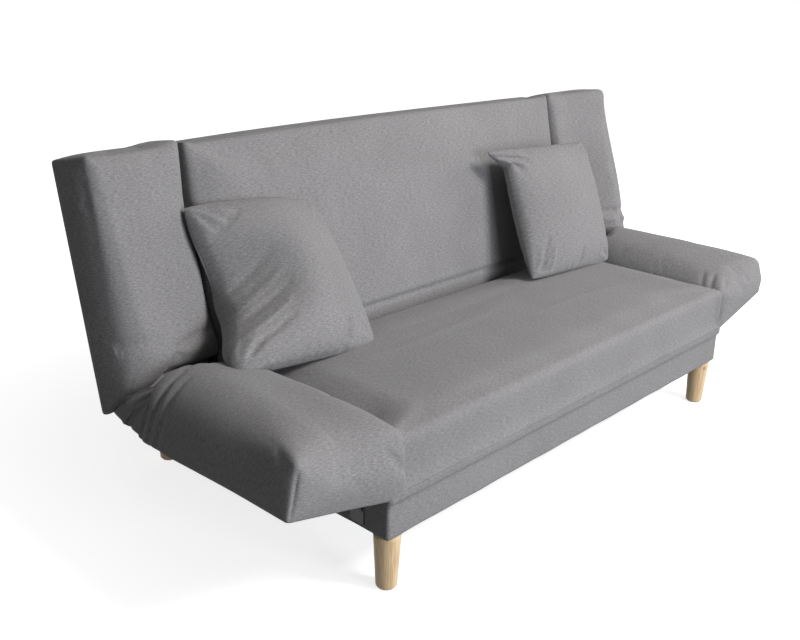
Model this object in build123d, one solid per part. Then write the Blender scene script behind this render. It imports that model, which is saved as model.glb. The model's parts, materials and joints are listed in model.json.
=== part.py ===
from build123d import *
import math
import os

# Futon sofa bed, millimetres. X runs along the seat, the front faces -Y, and the floor is Z = 0.
# Everything is drawn as a flat bed first and then folded up to the sofa position.

# Base and legs
centre_width = 1320.0
base_depth = 806.0
base_height = 82.0
rail_thickness = 20.0
cross_rail_height = 60.0
cross_rail_count = 3
cover_thickness = 2.0
dust_cover_thickness = 1.0
dust_cover_margin = 6.0
rear_deck_thickness = 4.0
corner_block_size = 70.0
corner_block_height = 46.0
leg_length = 118.0
leg_top_radius = 28.0
leg_foot_radius = 22.0
leg_inset = 30.0
glide_height = 6.0
glide_radius = 18.0
leg_plate_size = 52.0
leg_plate_thickness = 3.0
leg_bolt_radius = 4.0
leg_bolt_depth = 34.0
leg_screw_radius = 2.0
leg_screw_head_radius = 4.0
leg_screw_length = 18.0
leg_screw_edge = 7.0
countersink_taper = 30.0

# Seat pad
seat_depth = 514.0
seat_overhang = 6.0
seat_thickness = 127.0
seat_edge_radius = 22.0
deck_thickness = 15.0

# Back pad, measured from its pivot
back_length = 497.0
back_rake = 77.65
back_side_gap = 5.0
pad_thickness = 112.0
pad_edge_radius = 22.0
back_panel_thickness = 3.0
back_frame_thickness = 22.0
back_stile_width = 40.0
back_rail_width = 45.0
back_rail_count = 4

# Arm and wing flaps
flap_reach = 196.0
flap_crown = 12.0
flap_edge_drop = 16.0
flap_end_radius = 12.0
flap_board_thickness = 18.0
arm_length = 430.0
wing_start = 60.0
arm_rest_angle = 13.3
wing_rest_angle = 6.4
nose_radius = 32.0
fold_clearance = 3.0

# Recline hinge
hinge_plate_thickness = 4.0
hinge_plate_gap = 1.0
recline_eye_radius = 16.0
recline_pin_radius = 6.0
recline_head_radius = 11.0
recline_head_height = 3.0
recline_foot_width = 80.0
recline_foot_margin = 10.0
recline_arm_length = 84.0
recline_screw_edge = 11.0
pin_running_clearance = 0.08

# Flap hinges
flap_hinge_edge = 80.0
notch_width = 38.0
notch_reach = 18.0
eye_radius = 12.0
eye_width = 8.0
lug_thickness = 4.0
lug_gap = 0.5
flap_pin_radius = 5.0
flap_pin_head_radius = 8.0
flap_pin_head_height = 2.5
bracket_foot_width = 36.0
bracket_foot_length = 52.0
strap_root = 34.0
strap_half_width = 9.0
strap_drop = 4.8

# Hinge screws
screw_radius = 2.5
screw_head_radius = 5.0
screw_head_height = 2.5
screw_grip = 14.0
screw_spacing = 22.0

# Bumpers
bumper_radius = 8.0
bumper_clearance = 0.5
bumper_count = 4

# Pillows: side, thickness, how far in from the seat's end each one sits and how it is turned
pillow_side = 356.0
pillow_thickness = 112.0
pillow_edge_radius = 48.0
pillow_clearance = 1.0
pillow_lean = 65.0
left_pillow_inset = 174.0
left_pillow_yaw = -6.0
left_pillow_roll = 5.0
right_pillow_inset = 194.0
right_pillow_yaw = -9.0
right_pillow_roll = 2.0

# Loose fabric between arm and wing
gusset_margin = 12.0
gusset_clearance = 2.0
gusset_drop = 46.0

# How far a cutting block runs past the face it cuts
cut_overrun = 1.0

# Places worked out from the sizes
base_bottom = glide_height + leg_length + leg_plate_thickness
base_top = base_bottom + base_height
seat_top = base_top + seat_thickness
half_width = centre_width / 2
skirt_front = -(base_depth - seat_overhang) / 2
skirt_rear = skirt_front + base_depth
rake = math.radians(back_rake)
crease_y = skirt_front + seat_depth
pivot_y = crease_y + nose_radius * math.tan(rake / 2)
pivot_z = seat_top - nose_radius
pivot = Vector(0, pivot_y, pivot_z)
seat_front = skirt_front - seat_overhang
seat_rear = pivot_y - nose_radius - fold_clearance
pad_bottom = seat_top - pad_thickness
back_half_width = half_width - back_side_gap
back_top_y = pivot_y + back_length
fold_x = half_width + fold_clearance + nose_radius
flap_outer = fold_x + flap_reach
arm_front = skirt_front
arm_rear = skirt_front + arm_length
wing_front = pivot_y + wing_start
notch_floor = pad_bottom - cut_overrun


def block(x_range, y_range, z_range):
    """Box between two values along each axis."""
    size = [high - low for low, high in (x_range, y_range, z_range)]
    middle = [(high + low) / 2 for low, high in (x_range, y_range, z_range)]
    return Pos(*middle) * Box(*size)


def rod(start, direction, length, radius):
    """Cylinder from a start point along a direction."""
    plane = Plane(origin=start, z_dir=direction)
    return extrude(plane * Circle(radius), length)


def turned(shape, point, direction, angle):
    """Shape turned about an axis by the right-hand rule, in degrees."""
    return shape.rotate(Axis(point, direction), angle)


def raised(shape):
    """Backrest piece folded up from the bed to the sofa position."""
    return turned(shape, pivot, (1, 0, 0), back_rake)


def mirrored(shape):
    """Left-hand piece made from a right-hand one."""
    return mirror(shape, about=Plane.YZ)


def on_side(shape, side):
    """Right-hand piece as drawn, or its mirror image on the left."""
    if side == "left":
        return mirrored(shape)
    return shape


def save(name, *shapes):
    """Write a node, as one solid or as a group of separate solids."""
    solids = [solid for shape in shapes for solid in shape.solids()]
    whole = solids[0] if len(solids) == 1 else Compound(children=solids)
    export_step(whole, "parts/" + name + ".step")


def spread(first, last, count):
    """Evenly spaced places from first to last."""
    step = (last - first) / (count - 1)
    return [first + step * index for index in range(count)]


# Leg places, front pair then rear pair
leg_places = {
    side_y + "_" + side_x + "_leg": (sign * (half_width - leg_inset), y)
    for side_y, y in (("front", skirt_front + leg_inset), ("rear", skirt_rear - leg_inset))
    for side_x, sign in (("left", -1), ("right", 1))
}


def leg_screws():
    """Four countersunk screws through each leg plate into the box above."""
    screws = []
    reach = leg_plate_size / 2 - leg_screw_edge
    plate_low = base_bottom - leg_plate_thickness
    for x, y in leg_places.values():
        for dx in (-reach, reach):
            for dy in (-reach, reach):
                foot = Vector(x + dx, y + dy, plate_low)
                shank = rod(foot, (0, 0, 1), leg_screw_length, leg_screw_radius)
                rim = Plane(foot) * Circle(leg_screw_head_radius)
                head = extrude(rim, leg_plate_thickness, taper=countersink_taper)
                screws.append(shank + head)
    return screws


def leg_bolts():
    """Hanger bolt from each leg, through its plate, into the corner block."""
    low = base_bottom - leg_plate_thickness - leg_bolt_depth
    length = 2 * leg_bolt_depth + leg_plate_thickness
    return [rod((x, y, low), (0, 0, 1), length, leg_bolt_radius) for x, y in leg_places.values()]


def build_legs(screws, bolts):
    """Tapered legs, their plates and glides."""
    plates = []
    glides = []
    plate_low = base_bottom - leg_plate_thickness
    for (name, (x, y)), bolt in zip(leg_places.items(), bolts):
        taper = math.degrees(math.atan2(leg_foot_radius - leg_top_radius, leg_length))
        foot = Plane((x, y, glide_height))
        leg = extrude(foot * Circle(leg_foot_radius), leg_length, taper=taper)
        save(name, leg - bolt)
        plate = block(
            (x - leg_plate_size / 2, x + leg_plate_size / 2),
            (y - leg_plate_size / 2, y + leg_plate_size / 2),
            (plate_low, base_bottom),
        )
        plates.append(plate - bolt - screws)
        glides.append(rod((x, y, 0), (0, 0, 1), glide_height, glide_radius))
    save("leg_plates", *plates)
    save("leg_glides", *glides)


def build_base(screws, bolts, side_screws):
    """Wooden box on the legs, with its fabric skirt, dust cover and rear deck."""
    out_x = half_width - cover_thickness
    in_x = out_x - rail_thickness
    front = skirt_front + cover_thickness
    rear = skirt_rear - cover_thickness
    tall = (base_bottom, base_top)
    inner_y = (front + rail_thickness, rear - rail_thickness)
    cuts = screws + bolts + side_screws
    save("front_rail", block((-out_x, out_x), (front, inner_y[0]), tall) - cuts)
    save("rear_rail", block((-out_x, out_x), (inner_y[1], rear), tall) - cuts)
    save("left_side_rail", block((-out_x, -in_x), inner_y, tall) - cuts)
    save("right_side_rail", block((in_x, out_x), inner_y, tall) - cuts)

    places = spread(-in_x, in_x, cross_rail_count + 2)[1:-1]
    cross_low = base_top - cross_rail_height
    cross = [
        block((x - rail_thickness / 2, x + rail_thickness / 2), inner_y, (cross_low, base_top))
        for x in places
    ]
    save("cross_rails", *cross)

    blocks = []
    for x_range in ((-in_x, -in_x + corner_block_size), (in_x - corner_block_size, in_x)):
        for y_range in ((inner_y[0], inner_y[0] + corner_block_size),
                        (inner_y[1] - corner_block_size, inner_y[1])):
            corner = block(x_range, y_range, (base_bottom, base_bottom + corner_block_height))
            blocks.append(corner - cuts)
    save("corner_blocks", *blocks)

    deck_front = seat_rear + fold_clearance
    deck = block((-out_x, out_x), (deck_front, rear), (base_top, base_top + rear_deck_thickness))
    save("rear_deck", deck)

    skirt = block((-half_width, half_width), (skirt_front, skirt_rear), tall)
    through = (base_bottom - cut_overrun, base_top + cut_overrun)
    skirt -= block((-out_x, out_x), (front, rear), through)
    save("skirt_cover", skirt - side_screws)

    dust_x = half_width - dust_cover_margin
    dust = block(
        (-dust_x, dust_x),
        (skirt_front + dust_cover_margin, skirt_rear - dust_cover_margin),
        (base_bottom - dust_cover_thickness, base_bottom),
    )
    opening = leg_plate_size + dust_cover_margin
    for x, y in leg_places.values():
        dust -= Pos(x, y, base_bottom) * Box(opening, opening, 4 * dust_cover_thickness)
    save("dust_cover", dust)

    bumper_low = base_top + rear_deck_thickness
    bumper_height = pad_bottom - bumper_clearance - bumper_low
    bumper_y = rear - rail_thickness / 2
    reach = in_x - corner_block_size
    bumpers = [
        rod((x, bumper_y, bumper_low), (0, 0, 1), bumper_height, bumper_radius)
        for x in spread(-reach, reach, bumper_count)
    ]
    save("back_bumpers", *bumpers)


def seat_form(inset):
    """Seat pad with its upper edges rounded, drawn smaller by the inset on all but the underside."""
    form = block(
        (-half_width + inset, half_width - inset),
        (seat_front + inset, seat_rear - inset),
        (base_top, seat_top - inset),
    )
    upright = form.edges().filter_by(Axis.Z)
    form = fillet(upright, seat_edge_radius - inset)
    return fillet(form.faces().sort_by(Axis.Z)[-1].edges(), seat_edge_radius - inset)


def build_seat():
    """Seat pad: deck, foam and a cover that is open underneath."""
    core = seat_form(cover_thickness)
    wide = (-centre_width, centre_width)
    long = (seat_front - cut_overrun, seat_rear + cut_overrun)
    under = block(wide, long, (base_top - cut_overrun, base_top + deck_thickness))
    save("seat_deck", core & under)
    save("seat_foam", core - under)
    save("seat_cover", seat_form(0) - core)


def back_form(inset):
    """Back pad lying flat: its hinged edge is a nose round the pivot, its far edges are rounded."""
    radius = nose_radius - inset
    nose_y = pivot_y - radius
    end_y = back_top_y - inset
    top = seat_top - inset
    outline = [
        Line((nose_y, pad_bottom), (nose_y, pivot_z)),
        CenterArc((pivot_y, pivot_z), radius, 90, 90),
        Line((pivot_y, top), (end_y, top)),
        Line((end_y, top), (end_y, pad_bottom)),
        Line((end_y, pad_bottom), (nose_y, pad_bottom)),
    ]
    face = Plane.YZ * make_face(outline)
    half = back_half_width - inset
    form = extrude(face, half, both=True)
    far_edge = form.edges().filter_by(Axis.X).group_by(Axis.Z)[-1].sort_by(Axis.Y)[-1]
    return fillet(far_edge, pad_edge_radius - inset)


def build_back(side_screws, rear_screws):
    """Back pad: panel, wooden frame, foam and a cover that is open behind."""
    core = back_form(cover_thickness)
    half = back_half_width - cover_thickness
    near = pivot_y - nose_radius + cover_thickness
    far = back_top_y - cover_thickness
    panel_top = pad_bottom + back_panel_thickness
    frame_top = panel_top + back_frame_thickness
    screws = side_screws + rear_screws
    panel = block((-half, half), (near, far), (pad_bottom, panel_top))
    save("back_panel", raised(panel - rear_screws))

    frame_z = (panel_top, frame_top)
    inner_half = half - back_stile_width
    stiles = [
        block(x_range, (near, far), frame_z) - screws
        for x_range in ((-half, -inner_half), (inner_half, half))
    ]
    save("back_stiles", *[raised(stile) for stile in stiles])
    rails = [
        block((-inner_half, inner_half), (y - back_rail_width / 2, y + back_rail_width / 2), frame_z)
        for y in spread(near + back_rail_width / 2, far - back_rail_width / 2, back_rail_count)
    ]
    save("back_rails", *[raised(rail) for rail in rails])

    under = block(
        (-centre_width, centre_width),
        (near - cut_overrun, far + cut_overrun),
        (pad_bottom - cut_overrun, frame_top),
    )
    save("back_foam", raised(core - under - side_screws))
    save("back_cover", raised(back_form(0) - core - side_screws))


def flap_form(y_range, inset):
    """Right-hand flap lying flat: a nose round its fold line, a crowned top and rounded far ends."""
    radius = nose_radius - inset
    nose_x = fold_x - radius
    outer = flap_outer - inset
    top = seat_top - inset
    shoulder = top - flap_edge_drop
    middle = (fold_x + outer) / 2
    crest = (top + shoulder) / 2 + flap_crown
    outline = [
        Line((nose_x, pad_bottom), (nose_x, pivot_z)),
        CenterArc((fold_x, pivot_z), radius, 90, 90),
        ThreePointArc((fold_x, top), (middle, crest), (outer, shoulder)),
        Line((outer, shoulder), (outer, pad_bottom)),
        Line((outer, pad_bottom), (nose_x, pad_bottom)),
    ]
    face = Plane.XZ * make_face(outline)
    length = y_range[1] - y_range[0] - 2 * inset
    form = Pos(0, y_range[0] + inset, 0) * extrude(face, -length)
    long_edge = form.edges().filter_by(Axis.Y).group_by(Axis.X)[-1].sort_by(Axis.Z)[-1]
    form = fillet(long_edge, flap_end_radius - inset)
    ends = [face for face in form.faces().filter_by(Axis.Y)]
    rims = [edge for end in ends for edge in end.edges() if edge.center().Z > pad_bottom + radius]
    rims = [edge for edge in rims if edge.center().X > fold_x]
    return fillet(rims, flap_end_radius - inset)


def hinge_places(y_range):
    """Two hinge places along a flap, each the same way in from its end."""
    return (y_range[0] + flap_hinge_edge, y_range[1] - flap_hinge_edge)


def notches(y_range):
    """Hollows in a flap's lower inner corner, where its hinges sit."""
    x_range = (fold_x - nose_radius - cut_overrun, fold_x + notch_reach)
    z_range = (notch_floor, pivot_z + notch_reach)
    half = notch_width / 2
    return [block(x_range, (y - half, y + half), z_range) for y in hinge_places(y_range)]


def clevis(y):
    """Moving half of a flap hinge: a plate on the board's edge with two lugs round the pin."""
    plate_x = (fold_x + notch_reach - hinge_plate_thickness, fold_x + notch_reach)
    half = notch_width / 2 - lug_gap
    form = block(plate_x, (y - half, y + half), (pad_bottom, pivot_z + eye_radius))
    for sign in (-1, 1):
        near = y + sign * (eye_width / 2 + lug_gap)
        far = near + sign * lug_thickness
        lug_y = (min(near, far), max(near, far))
        lug = block((fold_x, plate_x[0]), lug_y, (pivot_z - eye_radius, pivot_z + eye_radius))
        lug += rod((fold_x, lug_y[0], pivot_z), (0, 1, 0), lug_thickness, eye_radius)
        form += lug
    return form - flap_pin(y)


def flap_pin(y):
    """Riveted pin through the lugs of a flap hinge."""
    half = eye_width / 2 + lug_gap + lug_thickness
    pin = rod((fold_x, y - half, pivot_z), (0, 1, 0), 2 * half, flap_pin_radius)
    for start in (y - half - flap_pin_head_height, y + half):
        pin += rod((fold_x, start, pivot_z), (0, 1, 0), flap_pin_head_height, flap_pin_head_radius)
    return pin


def strap(y, root):
    """Arm of a flap bracket: a plate from its root points up to the eye round the fold line."""
    outer = (fold_x + strap_half_width, pivot_z - strap_drop)
    inner = (fold_x - strap_half_width, pivot_z)
    face = Plane.XZ * make_face(Polyline(root + [outer, inner], close=True))
    arm = Pos(0, y - eye_width / 2, 0) * extrude(face, -eye_width)
    arm += rod((fold_x, y - eye_width / 2, pivot_z), (0, 1, 0), eye_width, eye_radius)
    hole_radius = flap_pin_radius + pin_running_clearance
    return arm - rod((fold_x, y - eye_width, pivot_z), (0, 1, 0), 2 * eye_width, hole_radius)


def arm_bracket(y):
    """Fixed half of an arm hinge: a foot on the side of the base and a strap up to the fold line."""
    half = bracket_foot_width / 2
    foot_top = base_top - recline_foot_margin
    foot_low = base_bottom + recline_foot_margin
    foot_x = (half_width, half_width + hinge_plate_thickness)
    foot = block(foot_x, (y - half, y + half), (foot_low, foot_top))
    root = [(half_width, foot_top), (half_width, foot_top - strap_root)]
    return foot + strap(y, root)


def wing_bracket(y):
    """Fixed half of a wing hinge: a foot behind the back and a strap out to the fold line."""
    half = bracket_foot_width / 2
    low = pad_bottom - hinge_plate_thickness
    inner = half_width - bracket_foot_length + fold_clearance
    near = back_half_width + hinge_plate_gap
    far = near + eye_width + fold_clearance
    foot = block((inner, far), (y - half, y + half), (low, pad_bottom))
    root = [(near, pad_bottom + hinge_plate_thickness), (near, low), (far, low)]
    return foot + strap(y, root)


def hinge_screw(head, direction):
    """Pan-head screw whose head stands on the point given and whose shank runs the other way."""
    way = Vector(*direction)
    cap = rod(head, direction, screw_head_height, screw_head_radius)
    return cap + rod(head, tuple(-way), screw_grip, screw_radius)


def base_screws():
    """Screws of the arm brackets and the recline plates, into the right side of the base."""
    head_x = half_width + hinge_plate_thickness
    middle = (base_bottom + base_top) / 2
    places = []
    for y in hinge_places((arm_front, arm_rear)):
        places += [(y - screw_spacing / 2, middle), (y + screw_spacing / 2, middle)]
    places += [(pivot_y + shift * screw_spacing, middle) for shift in (-1, 0, 1)]
    return [hinge_screw((head_x, y, z), (1, 0, 0)) for y, z in places]


def back_side_screws():
    """Screws of the right recline plate into the stile of the back."""
    head_x = back_half_width + hinge_plate_thickness
    z = pad_bottom + back_panel_thickness + back_frame_thickness / 2
    far = pivot_y + recline_arm_length - recline_screw_edge
    return [hinge_screw((head_x, y, z), (1, 0, 0)) for y in (far - screw_spacing, far)]


def back_rear_screws():
    """Screws of the right wing brackets into the stile of the back."""
    low = pad_bottom - hinge_plate_thickness
    outer = back_half_width - cover_thickness - screw_head_radius
    return [
        hinge_screw((outer - shift * screw_spacing, y, low), (0, 0, -1))
        for y in hinge_places((wing_front, back_top_y))
        for shift in (0, 1)
    ]


def recline_base_plate(screws):
    """Fixed half of the recline hinge: a foot on the base that rises to an eye round the pivot."""
    low = base_bottom + recline_foot_margin
    high = base_top - recline_foot_margin
    half = recline_foot_width / 2
    outline = Polyline(
        (pivot_y - half, low),
        (pivot_y + half, low),
        (pivot_y + half, high),
        (pivot_y + recline_eye_radius, pivot_z),
        (pivot_y - recline_eye_radius, pivot_z),
        (pivot_y - half, high),
        close=True,
    )
    face = Plane((half_width, 0, 0), x_dir=(0, 1, 0), z_dir=(1, 0, 0)) * make_face(outline)
    plate = extrude(face, hinge_plate_thickness)
    plate += rod((half_width, pivot_y, pivot_z), (1, 0, 0), hinge_plate_thickness, recline_eye_radius)
    hole = recline_pin_radius + pin_running_clearance
    start = (half_width - cut_overrun, pivot_y, pivot_z)
    plate -= rod(start, (1, 0, 0), hinge_plate_thickness + 2 * cut_overrun, hole)
    return plate - screws


def recline_back_plate(screws, pin):
    """Moving half of the recline hinge: a plate on the side of the back with an eye round the pivot."""
    inner = (back_half_width, back_half_width + hinge_plate_thickness)
    low = pad_bottom + back_panel_thickness
    plate = block(inner, (pivot_y, pivot_y + recline_arm_length), (low, pivot_z + recline_eye_radius))
    plate += rod((inner[0], pivot_y, pivot_z), (1, 0, 0), hinge_plate_thickness, recline_eye_radius)
    return plate - screws - pin


def recline_pin():
    """Headed pin of the recline hinge, from the back's side out past the fixed plate."""
    head_x = half_width + hinge_plate_thickness + hinge_plate_gap / 2
    start = (back_half_width, pivot_y, pivot_z)
    pin = rod(start, (1, 0, 0), head_x - back_half_width, recline_pin_radius)
    return pin + rod((head_x, pivot_y, pivot_z), (1, 0, 0), recline_head_height, recline_head_radius)


def build_recline_hinge(screws, side_screws):
    """Recline hinge on both sides: plates on the base, plates and pins on the back."""
    pin = recline_pin()
    fixed = recline_base_plate(screws)
    moving = raised(recline_back_plate(side_screws, pin))
    save("recline_base_plates", mirrored(fixed), fixed)
    save("recline_back_plates", mirrored(moving), moving)
    save("recline_pins", mirrored(pin), pin)


def build_flap(name, side, y_range, place):
    """Arm or wing flap with its board, foam, cover and moving hinge halves, put in place by a function."""
    hollow = notches(y_range)
    core = flap_form(y_range, cover_thickness) - hollow
    under = block(
        (half_width, flap_outer + cut_overrun),
        (y_range[0] - cut_overrun, y_range[1] + cut_overrun),
        (pad_bottom - cut_overrun, pad_bottom + flap_board_thickness),
    )
    cover = flap_form(y_range, 0) - flap_form(y_range, cover_thickness) - hollow
    pieces = {
        "board": [core & under],
        "foam": [core - under],
        "cover": [cover],
        "hinge_clevises": [clevis(y) for y in hinge_places(y_range)],
        "hinge_pins": [flap_pin(y) for y in hinge_places(y_range)],
    }
    for piece, shapes in pieces.items():
        save(side + "_" + name + "_" + piece, *[on_side(place(shape), side) for shape in shapes])


def arm_place(shape):
    """Right arm turned up to its angle in the sofa position."""
    return turned(shape, (fold_x, 0, pivot_z), (0, -1, 0), arm_rest_angle)


def wing_place(shape):
    """Right wing turned forward to its angle, then folded up with the back."""
    return raised(turned(shape, (fold_x, 0, pivot_z), (0, -1, 0), wing_rest_angle))


def pillow_turn(yaw, roll):
    """Turn of a pillow from lying on its back to leaning in the corner of the sofa."""
    return Rot(0, 0, yaw) * Rot(pillow_lean, 0, 0) * Rot(0, 0, roll)


def pillow_reach(turn, way):
    """How far a pillow's rounded block reaches from its middle along a direction."""
    half = (pillow_side / 2, pillow_side / 2, pillow_thickness / 2)
    axes = [(turn * Pos(*axis)).position for axis in ((1, 0, 0), (0, 1, 0), (0, 0, 1))]
    straight = sum((size - pillow_edge_radius) * abs(axis.dot(way)) for size, axis in zip(half, axes))
    return straight + pillow_edge_radius


def pillow_middle(turn, x):
    """Middle of a pillow that rests on the seat and leans on the back."""
    out_of_back = Vector(0, -math.sin(rake), math.cos(rake))
    z = seat_top + pillow_clearance + pillow_reach(turn, Vector(0, 0, 1))
    ahead = nose_radius + pillow_clearance + pillow_reach(turn, out_of_back)
    y = pivot_y + ((z - pivot_z) * math.cos(rake) - ahead) / math.sin(rake)
    return Vector(x, y, z)


def pillow_form(inset):
    """Rounded square block, drawn smaller by the inset."""
    side = pillow_side - 2 * inset
    form = Box(side, side, pillow_thickness - 2 * inset)
    return fillet(form.edges(), pillow_edge_radius - inset)


def build_pillow(name, x, yaw, roll):
    """Scatter pillow: filling, and a cover of a front and a back panel that meet at the seam."""
    turn = pillow_turn(yaw, roll)
    place = Pos(*pillow_middle(turn, x)) * turn
    filling = pillow_form(cover_thickness)
    cover = pillow_form(0) - filling
    wide = (-pillow_side, pillow_side)
    front = cover & block(wide, wide, (0, pillow_side))
    back = cover & block(wide, wide, (-pillow_side, 0))
    save(name + "_filling", place * filling)
    save(name + "_cover", place * front, place * back)


def build_gussets():
    """Loose fabric that hangs from an arm's rear end to the lower end of its wing."""
    along = Vector(0, math.cos(rake), math.sin(rake))
    ahead = Vector(0, -math.sin(rake), math.cos(rake))
    lower = pivot + along * (wing_start - gusset_clearance)
    wing_face = lower + ahead * (nose_radius - gusset_margin)
    wing_rear = lower - ahead * (pad_thickness - nose_radius - gusset_margin)
    bag = wing_rear - along * gusset_drop
    near_y = arm_rear + gusset_clearance
    low_z = pad_bottom + gusset_margin
    outline = Polyline(
        (near_y, low_z),
        (near_y, seat_top - gusset_margin),
        (crease_y - gusset_margin, seat_top),
        (wing_face.Y, wing_face.Z),
        (wing_rear.Y, wing_rear.Z),
        (bag.Y, bag.Z),
        close=True,
    )
    start_x = fold_x - nose_radius + gusset_margin
    plane = Plane((start_x, 0, 0), x_dir=(0, 1, 0), z_dir=(1, 0, 0))
    right = extrude(plane * make_face(outline), flap_outer - gusset_margin - start_x)
    save("right_corner_gusset", right)
    save("left_corner_gusset", mirrored(right))


def main():
    os.makedirs("parts", exist_ok=True)
    plate_screws = leg_screws()
    bolts = leg_bolts()
    right_base_screws = base_screws()
    both_base_screws = right_base_screws + [mirrored(screw) for screw in right_base_screws]
    right_side_screws = back_side_screws()
    both_side_screws = right_side_screws + [mirrored(screw) for screw in right_side_screws]
    right_rear_screws = back_rear_screws()
    both_rear_screws = right_rear_screws + [mirrored(screw) for screw in right_rear_screws]

    save("leg_plate_screws", *plate_screws)
    save("leg_bolts", *bolts)
    save("base_hinge_screws", *both_base_screws)
    save("back_hinge_screws", *[raised(screw) for screw in both_side_screws + both_rear_screws])
    build_legs(plate_screws, bolts)
    build_base(plate_screws, bolts, both_base_screws)
    build_seat()
    build_back(both_side_screws, both_rear_screws)
    build_recline_hinge(right_base_screws, right_side_screws)

    arm_brackets = [arm_bracket(y) - right_base_screws for y in hinge_places((arm_front, arm_rear))]
    save("arm_hinge_brackets", *arm_brackets, *[mirrored(bracket) for bracket in arm_brackets])
    wing_brackets = [
        raised(wing_bracket(y) - right_rear_screws) for y in hinge_places((wing_front, back_top_y))
    ]
    save("wing_hinge_brackets", *wing_brackets, *[mirrored(bracket) for bracket in wing_brackets])

    for side in ("left", "right"):
        build_flap("arm", side, (arm_front, arm_rear), arm_place)
        build_flap("wing", side, (wing_front, back_top_y), wing_place)
    left_x = left_pillow_inset - half_width
    right_x = half_width - right_pillow_inset
    build_pillow("left_pillow", left_x, left_pillow_yaw, left_pillow_roll)
    build_pillow("right_pillow", right_x, right_pillow_yaw, right_pillow_roll)
    build_gussets()


main()
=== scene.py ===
import json
import math

import bpy
import numpy as np
from mathutils import Matrix, Vector


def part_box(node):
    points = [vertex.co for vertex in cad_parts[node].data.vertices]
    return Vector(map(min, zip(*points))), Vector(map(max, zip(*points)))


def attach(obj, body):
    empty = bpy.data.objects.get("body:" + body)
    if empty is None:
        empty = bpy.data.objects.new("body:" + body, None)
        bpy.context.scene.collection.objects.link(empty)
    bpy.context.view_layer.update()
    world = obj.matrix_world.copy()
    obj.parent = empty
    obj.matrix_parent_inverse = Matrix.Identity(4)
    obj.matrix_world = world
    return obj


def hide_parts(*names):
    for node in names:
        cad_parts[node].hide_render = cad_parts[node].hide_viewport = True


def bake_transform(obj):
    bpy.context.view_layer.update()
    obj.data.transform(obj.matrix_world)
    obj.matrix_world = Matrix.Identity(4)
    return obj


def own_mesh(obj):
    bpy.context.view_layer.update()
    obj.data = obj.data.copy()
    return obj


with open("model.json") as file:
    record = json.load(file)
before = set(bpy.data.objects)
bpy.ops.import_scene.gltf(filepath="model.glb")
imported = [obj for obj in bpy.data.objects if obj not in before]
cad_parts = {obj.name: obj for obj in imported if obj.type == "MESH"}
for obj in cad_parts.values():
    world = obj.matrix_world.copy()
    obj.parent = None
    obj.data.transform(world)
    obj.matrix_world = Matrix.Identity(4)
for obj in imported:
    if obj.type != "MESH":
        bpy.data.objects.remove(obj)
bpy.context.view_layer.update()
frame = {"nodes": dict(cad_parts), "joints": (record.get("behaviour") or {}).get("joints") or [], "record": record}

# Futon sofa bed, metres. X runs along the seat, the front faces -Y, and the floor is Z = 0.
# Each pad is drawn in its own frame: across, along, and out of its upholstered face.

# Camera: place, turn in degrees, lens and sensor in millimetres
CAMERA_PLACE = (-1.8154, -1.4984, 1.1541)
CAMERA_AZIMUTH = -46.949
CAMERA_ELEVATION = 20.006
CAMERA_ROLL = 1.280
CAMERA_LENS = 43.975
CAMERA_SENSOR = 36.0

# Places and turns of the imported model: from the frame where it gives them, else the source's own sizes
joints = {joint["name"]: joint for joint in frame["joints"]}
pivot = np.array(joints["back_recline"]["pos_m"])
fold_x = joints["right_arm_fold"]["pos_m"][0]
arm_tilt = -math.radians(joints["right_arm_fold"]["range_deg"][0])
wing_tilt = math.radians(6.4)
across = np.array((1.0, 0.0, 0.0))
up_back = np.array(joints["left_wing_fold"]["axis"])
up_back = up_back / np.linalg.norm(up_back)
out_of_back = np.cross(across, up_back)
seat_low, seat_high = (np.array(corner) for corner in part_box("seat_cover"))
skirt_low, skirt_high = (np.array(corner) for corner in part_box("skirt_cover"))
seat_top = seat_high[2]
pad_thickness = 0.112
nose = 0.032
pad_rear = nose - pad_thickness
back_length = 0.497
flap_reach = 0.196
arm_front = skirt_low[1]
arm_rear = arm_front + 0.430
wing_start = 0.060

PATTERN = "cloth_pattern"
HELD = "held"
SIDES = ("left", "right")

# Width of a pad's squares before they are divided, and height of the strip that the frame under it holds
PAD_STEP = 0.011
FLAP_STEP = 0.009
PILLOW_STEP = 0.0042
PAD_HELD = 0.012
FLAP_HELD = 0.010

# Swelling of the pads
SWELL_PRESSURE = 4.0
SWELL_FRAMES = 20

# Wrinkles: points along each line, and how far from it the cloth may move
MARK_SAMPLES = 129
MARK_REACH = 0.04

# Heights of crowns, humps and sags
SEAT_CROWN = 0.006
SEAT_DIP = 0.020
BACK_CROWN = 0.007
BACK_HUMP = 0.006
ARM_DOME = 0.040
ARM_SAG = 0.008

# Arms and wings: inner edge and its extra radius, share of the dome that is lost outside, lower end and bag
ARM_INNER = {"left": -0.091, "right": -0.036}
ARM_INNER_ROUNDING = {"left": 0.036, "right": 0.026}
ARM_DOME_FALL = {"left": 0.8, "right": 0.4}
WING_LOW = {"left": -0.017, "right": -0.024}
WING_BAG = {"left": 0.058, "right": 0.080}

# Sleeve between arm and wing: points round it, rows along it, its upper edge and hang at the wing, its
# folds' phase
SLEEVE_POINTS = 120
SLEEVE_ROWS = 81
SLEEVE_WING_TOP = {"left": -0.026, "right": 0.0}
SLEEVE_DROP = {"left": 0.131, "right": 0.060}
SLEEVE_PHASE = {"left": 0.4, "right": 2.1}

# Cloth: a thread's width
THREAD_WIDTH = 0.0016


def smooth(value, low, high):
    """Step from 0 to 1 between two limits, level at both."""
    share = np.clip((value - low) / (high - low), 0.0, 1.0)
    return share * share * (3.0 - 2.0 * share)


def bell(value, middle, width):
    """Bell curve, 1 at the middle."""
    return np.exp(-(((value - middle) / width) ** 2))


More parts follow.
